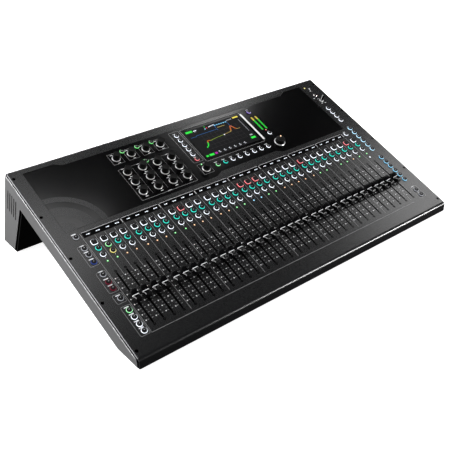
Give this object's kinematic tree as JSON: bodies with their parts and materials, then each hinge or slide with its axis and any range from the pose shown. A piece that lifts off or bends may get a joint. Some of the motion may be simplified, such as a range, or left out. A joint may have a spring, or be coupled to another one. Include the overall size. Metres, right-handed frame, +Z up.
{
  "type": "digital mixing console",
  "caption": "Sloping digital mixing console: fader bank with keys above each strip, inset facia with rotary encoders, touchscreen and wheel, on a folded steel chassis with a rear leg.",
  "frame": {"origin": "on the surface that the console stands on, at the centre of its footprint", "axes": "+X to the operator's right, +Y away from the operator towards the rear wall, +Z up"},
  "size_m": [0.8048, 0.4971, 0.1831],
  "materials": {
    "panel_paint": "satin textured powder coat, charcoal",
    "chassis_paint": "matt black powder coat",
    "cheek_paint": "satin metallic grey paint",
    "facia_gloss": "semi-gloss black overlay",
    "screen_glass": "gloss black display glass",
    "key_rubber": "translucent light-guide silicone with black key tops",
    "fader_cap_plastic": "satin black moulded plastic with a white index line",
    "knob_plastic": "satin black moulded plastic with a ribbed grip"
  },
  "bodies": {
    "console": {"top_panel": "panel_paint", "base_shell": "chassis_paint", "left_end_cheek": "cheek_paint", "right_end_cheek": "cheek_paint", "facia_panel": "facia_gloss", "touchscreen": "screen_glass"},
    "fader_01": {"fader_01": "fader_cap_plastic"},
    "fader_02": {"fader_02": "fader_cap_plastic"},
    "fader_03": {"fader_03": "fader_cap_plastic"},
    "fader_04": {"fader_04": "fader_cap_plastic"},
    "fader_05": {"fader_05": "fader_cap_plastic"},
    "fader_06": {"fader_06": "fader_cap_plastic"},
    "fader_07": {"fader_07": "fader_cap_plastic"},
    "fader_08": {"fader_08": "fader_cap_plastic"},
    "fader_09": {"fader_09": "fader_cap_plastic"},
    "fader_10": {"fader_10": "fader_cap_plastic"},
    "fader_11": {"fader_11": "fader_cap_plastic"},
    "fader_12": {"fader_12": "fader_cap_plastic"},
    "fader_13": {"fader_13": "fader_cap_plastic"},
    "fader_14": {"fader_14": "fader_cap_plastic"},
    "fader_15": {"fader_15": "fader_cap_plastic"},
    "fader_16": {"fader_16": "fader_cap_plastic"},
    "fader_17": {"fader_17": "fader_cap_plastic"},
    "fader_18": {"fader_18": "fader_cap_plastic"},
    "fader_19": {"fader_19": "fader_cap_plastic"},
    "fader_20": {"fader_20": "fader_cap_plastic"},
    "fader_21": {"fader_21": "fader_cap_plastic"},
    "fader_22": {"fader_22": "fader_cap_plastic"},
    "fader_23": {"fader_23": "fader_cap_plastic"},
    "fader_24": {"fader_24": "fader_cap_plastic"},
    "fader_25": {"fader_25": "fader_cap_plastic"},
    "fader_26": {"fader_26": "fader_cap_plastic"},
    "fader_27": {"fader_27": "fader_cap_plastic"},
    "fader_28": {"fader_28": "fader_cap_plastic"},
    "fader_29": {"fader_29": "fader_cap_plastic"},
    "fader_30": {"fader_30": "fader_cap_plastic"},
    "fader_31": {"fader_31": "fader_cap_plastic"},
    "fader_32": {"fader_32": "fader_cap_plastic"},
    "fader_master": {"fader_master": "fader_cap_plastic"},
    "encoder_1": {"encoder_1": "knob_plastic"},
    "encoder_2": {"encoder_2": "knob_plastic"},
    "encoder_3": {"encoder_3": "knob_plastic"},
    "encoder_4": {"encoder_4": "knob_plastic"},
    "encoder_5": {"encoder_5": "knob_plastic"},
    "encoder_6": {"encoder_6": "knob_plastic"},
    "encoder_7": {"encoder_7": "knob_plastic"},
    "encoder_8": {"encoder_8": "knob_plastic"},
    "encoder_9": {"encoder_9": "knob_plastic"},
    "encoder_10": {"encoder_10": "knob_plastic"},
    "encoder_11": {"encoder_11": "knob_plastic"},
    "encoder_12": {"encoder_12": "knob_plastic"},
    "encoder_13": {"encoder_13": "knob_plastic"},
    "encoder_14": {"encoder_14": "knob_plastic"},
    "encoder_15": {"encoder_15": "knob_plastic"},
    "encoder_16": {"encoder_16": "knob_plastic"},
    "soft_rotary": {"soft_rotary": "knob_plastic"},
    "main_wheel": {"main_wheel": "knob_plastic"},
    "phones_level": {"phones_level": "knob_plastic"},
    "panel_keymat": {"panel_keymat": "key_rubber"},
    "facia_keymat": {"facia_keymat": "key_rubber"}
  },
  "joints": [
    {"name": "fader_01_slide", "type": "slide", "parent": "console", "child": "fader_01", "axis": [0, 0.9348, 0.3551], "range_m": [-0.049, 0.051]},
    {"name": "fader_02_slide", "type": "slide", "parent": "console", "child": "fader_02", "axis": [0, 0.9348, 0.3551], "range_m": [-0.049, 0.051]},
    {"name": "fader_03_slide", "type": "slide", "parent": "console", "child": "fader_03", "axis": [0, 0.9348, 0.3551], "range_m": [-0.049, 0.051]},
    {"name": "fader_04_slide", "type": "slide", "parent": "console", "child": "fader_04", "axis": [0, 0.9348, 0.3551], "range_m": [-0.049, 0.051]},
    {"name": "fader_05_slide", "type": "slide", "parent": "console", "child": "fader_05", "axis": [0, 0.9348, 0.3551], "range_m": [-0.049, 0.051]},
    {"name": "fader_06_slide", "type": "slide", "parent": "console", "child": "fader_06", "axis": [0, 0.9348, 0.3551], "range_m": [-0.049, 0.051]},
    {"name": "fader_07_slide", "type": "slide", "parent": "console", "child": "fader_07", "axis": [0, 0.9348, 0.3551], "range_m": [-0.049, 0.051]},
    {"name": "fader_08_slide", "type": "slide", "parent": "console", "child": "fader_08", "axis": [0, 0.9348, 0.3551], "range_m": [-0.049, 0.051]},
    {"name": "fader_09_slide", "type": "slide", "parent": "console", "child": "fader_09", "axis": [0, 0.9348, 0.3551], "range_m": [-0.049, 0.051]},
    {"name": "fader_10_slide", "type": "slide", "parent": "console", "child": "fader_10", "axis": [0, 0.9348, 0.3551], "range_m": [-0.049, 0.051]},
    {"name": "fader_11_slide", "type": "slide", "parent": "console", "child": "fader_11", "axis": [0, 0.9348, 0.3551], "range_m": [-0.049, 0.051]},
    {"name": "fader_12_slide", "type": "slide", "parent": "console", "child": "fader_12", "axis": [0, 0.9348, 0.3551], "range_m": [-0.049, 0.051]},
    {"name": "fader_13_slide", "type": "slide", "parent": "console", "child": "fader_13", "axis": [0, 0.9348, 0.3551], "range_m": [-0.049, 0.051]},
    {"name": "fader_14_slide", "type": "slide", "parent": "console", "child": "fader_14", "axis": [0, 0.9348, 0.3551], "range_m": [-0.049, 0.051]},
    {"name": "fader_15_slide", "type": "slide", "parent": "console", "child": "fader_15", "axis": [0, 0.9348, 0.3551], "range_m": [-0.049, 0.051]},
    {"name": "fader_16_slide", "type": "slide", "parent": "console", "child": "fader_16", "axis": [0, 0.9348, 0.3551], "range_m": [-0.049, 0.051]},
    {"name": "fader_17_slide", "type": "slide", "parent": "console", "child": "fader_17", "axis": [0, 0.9348, 0.3551], "range_m": [-0.049, 0.051]},
    {"name": "fader_18_slide", "type": "slide", "parent": "console", "child": "fader_18", "axis": [0, 0.9348, 0.3551], "range_m": [-0.049, 0.051]},
    {"name": "fader_19_slide", "type": "slide", "parent": "console", "child": "fader_19", "axis": [0, 0.9348, 0.3551], "range_m": [-0.049, 0.051]},
    {"name": "fader_20_slide", "type": "slide", "parent": "console", "child": "fader_20", "axis": [0, 0.9348, 0.3551], "range_m": [-0.049, 0.051]},
    {"name": "fader_21_slide", "type": "slide", "parent": "console", "child": "fader_21", "axis": [0, 0.9348, 0.3551], "range_m": [-0.049, 0.051]},
    {"name": "fader_22_slide", "type": "slide", "parent": "console", "child": "fader_22", "axis": [0, 0.9348, 0.3551], "range_m": [-0.049, 0.051]},
    {"name": "fader_23_slide", "type": "slide", "parent": "console", "child": "fader_23", "axis": [0, 0.9348, 0.3551], "range_m": [-0.049, 0.051]},
    {"name": "fader_24_slide", "type": "slide", "parent": "console", "child": "fader_24", "axis": [0, 0.9348, 0.3551], "range_m": [-0.049, 0.051]},
    {"name": "fader_25_slide", "type": "slide", "parent": "console", "child": "fader_25", "axis": [0, 0.9348, 0.3551], "range_m": [-0.049, 0.051]},
    {"name": "fader_26_slide", "type": "slide", "parent": "console", "child": "fader_26", "axis": [0, 0.9348, 0.3551], "range_m": [-0.049, 0.051]},
    {"name": "fader_27_slide", "type": "slide", "parent": "console", "child": "fader_27", "axis": [0, 0.9348, 0.3551], "range_m": [-0.049, 0.051]},
    {"name": "fader_28_slide", "type": "slide", "parent": "console", "child": "fader_28", "axis": [0, 0.9348, 0.3551], "range_m": [-0.049, 0.051]},
    {"name": "fader_29_slide", "type": "slide", "parent": "console", "child": "fader_29", "axis": [0, 0.9348, 0.3551], "range_m": [-0.049, 0.051]},
    {"name": "fader_30_slide", "type": "slide", "parent": "console", "child": "fader_30", "axis": [0, 0.9348, 0.3551], "range_m": [-0.049, 0.051]},
    {"name": "fader_31_slide", "type": "slide", "parent": "console", "child": "fader_31", "axis": [0, 0.9348, 0.3551], "range_m": [-0.049, 0.051]},
    {"name": "fader_32_slide", "type": "slide", "parent": "console", "child": "fader_32", "axis": [0, 0.9348, 0.3551], "range_m": [-0.049, 0.051]},
    {"name": "fader_master_slide", "type": "slide", "parent": "console", "child": "fader_master", "axis": [0, 0.9348, 0.3551], "range_m": [-0.049, 0.051]},
    {"name": "encoder_1_turn", "type": "hinge", "parent": "console", "child": "encoder_1", "pos_m": [-0.1905, 0.13281, 0.16638], "axis": [0, -0.3551, 0.9348], "continuous": true},
    {"name": "encoder_2_turn", "type": "hinge", "parent": "console", "child": "encoder_2", "pos_m": [-0.1551, 0.13281, 0.16638], "axis": [0, -0.3551, 0.9348], "continuous": true},
    {"name": "encoder_3_turn", "type": "hinge", "parent": "console", "child": "encoder_3", "pos_m": [-0.1198, 0.13281, 0.16638], "axis": [0, -0.3551, 0.9348], "continuous": true},
    {"name": "encoder_4_turn", "type": "hinge", "parent": "console", "child": "encoder_4", "pos_m": [-0.0845, 0.13281, 0.16638], "axis": [0, -0.3551, 0.9348], "continuous": true},
    {"name": "encoder_5_turn", "type": "hinge", "parent": "console", "child": "encoder_5", "pos_m": [-0.1905, 0.09355, 0.15147], "axis": [0, -0.3551, 0.9348], "continuous": true},
    {"name": "encoder_6_turn", "type": "hinge", "parent": "console", "child": "encoder_6", "pos_m": [-0.1551, 0.09355, 0.15147], "axis": [0, -0.3551, 0.9348], "continuous": true},
    {"name": "encoder_7_turn", "type": "hinge", "parent": "console", "child": "encoder_7", "pos_m": [-0.1198, 0.09355, 0.15147], "axis": [0, -0.3551, 0.9348], "continuous": true},
    {"name": "encoder_8_turn", "type": "hinge", "parent": "console", "child": "encoder_8", "pos_m": [-0.0845, 0.09355, 0.15147], "axis": [0, -0.3551, 0.9348], "continuous": true},
    {"name": "encoder_9_turn", "type": "hinge", "parent": "console", "child": "encoder_9", "pos_m": [-0.1905, 0.0669, 0.14135], "axis": [0, -0.3551, 0.9348], "continuous": true},
    {"name": "encoder_10_turn", "type": "hinge", "parent": "console", "child": "encoder_10", "pos_m": [-0.1551, 0.0669, 0.14135], "axis": [0, -0.3551, 0.9348], "continuous": true},
    {"name": "encoder_11_turn", "type": "hinge", "parent": "console", "child": "encoder_11", "pos_m": [-0.1198, 0.0669, 0.14135], "axis": [0, -0.3551, 0.9348], "continuous": true},
    {"name": "encoder_12_turn", "type": "hinge", "parent": "console", "child": "encoder_12", "pos_m": [-0.0845, 0.0669, 0.14135], "axis": [0, -0.3551, 0.9348], "continuous": true},
    {"name": "encoder_13_turn", "type": "hinge", "parent": "console", "child": "encoder_13", "pos_m": [-0.1905, 0.04026, 0.13123], "axis": [0, -0.3551, 0.9348], "continuous": true},
    {"name": "encoder_14_turn", "type": "hinge", "parent": "console", "child": "encoder_14", "pos_m": [-0.1551, 0.04026, 0.13123], "axis": [0, -0.3551, 0.9348], "continuous": true},
    {"name": "encoder_15_turn", "type": "hinge", "parent": "console", "child": "encoder_15", "pos_m": [-0.1198, 0.04026, 0.13123], "axis": [0, -0.3551, 0.9348], "continuous": true},
    {"name": "encoder_16_turn", "type": "hinge", "parent": "console", "child": "encoder_16", "pos_m": [-0.0845, 0.04026, 0.13123], "axis": [0, -0.3551, 0.9348], "continuous": true},
    {"name": "soft_rotary_turn", "type": "hinge", "parent": "console", "child": "soft_rotary", "pos_m": [-0.036, 0.04026, 0.13123], "axis": [0, -0.3551, 0.9348], "continuous": true},
    {"name": "main_wheel_turn", "type": "hinge", "parent": "console", "child": "main_wheel", "pos_m": [0.169, 0.04026, 0.13123], "axis": [0, -0.3551, 0.9348], "continuous": true},
    {"name": "phones_level_turn", "type": "hinge", "parent": "console", "child": "phones_level", "pos_m": [0.369, 0.10944, 0.15751], "axis": [0, -0.3551, 0.9348], "range_deg": [-251, 49]},
    {"name": "panel_keymat_press", "type": "slide", "parent": "console", "child": "panel_keymat", "axis": [0, -0.3551, 0.9348], "range_m": [-0.0008, 0], "stiffness_N_per_m": 3000, "springref_m": 0.003},
    {"name": "facia_keymat_press", "type": "slide", "parent": "console", "child": "facia_keymat", "axis": [0, -0.3551, 0.9348], "range_m": [-0.0008, 0], "stiffness_N_per_m": 1200, "springref_m": 0.003}
  ]
}
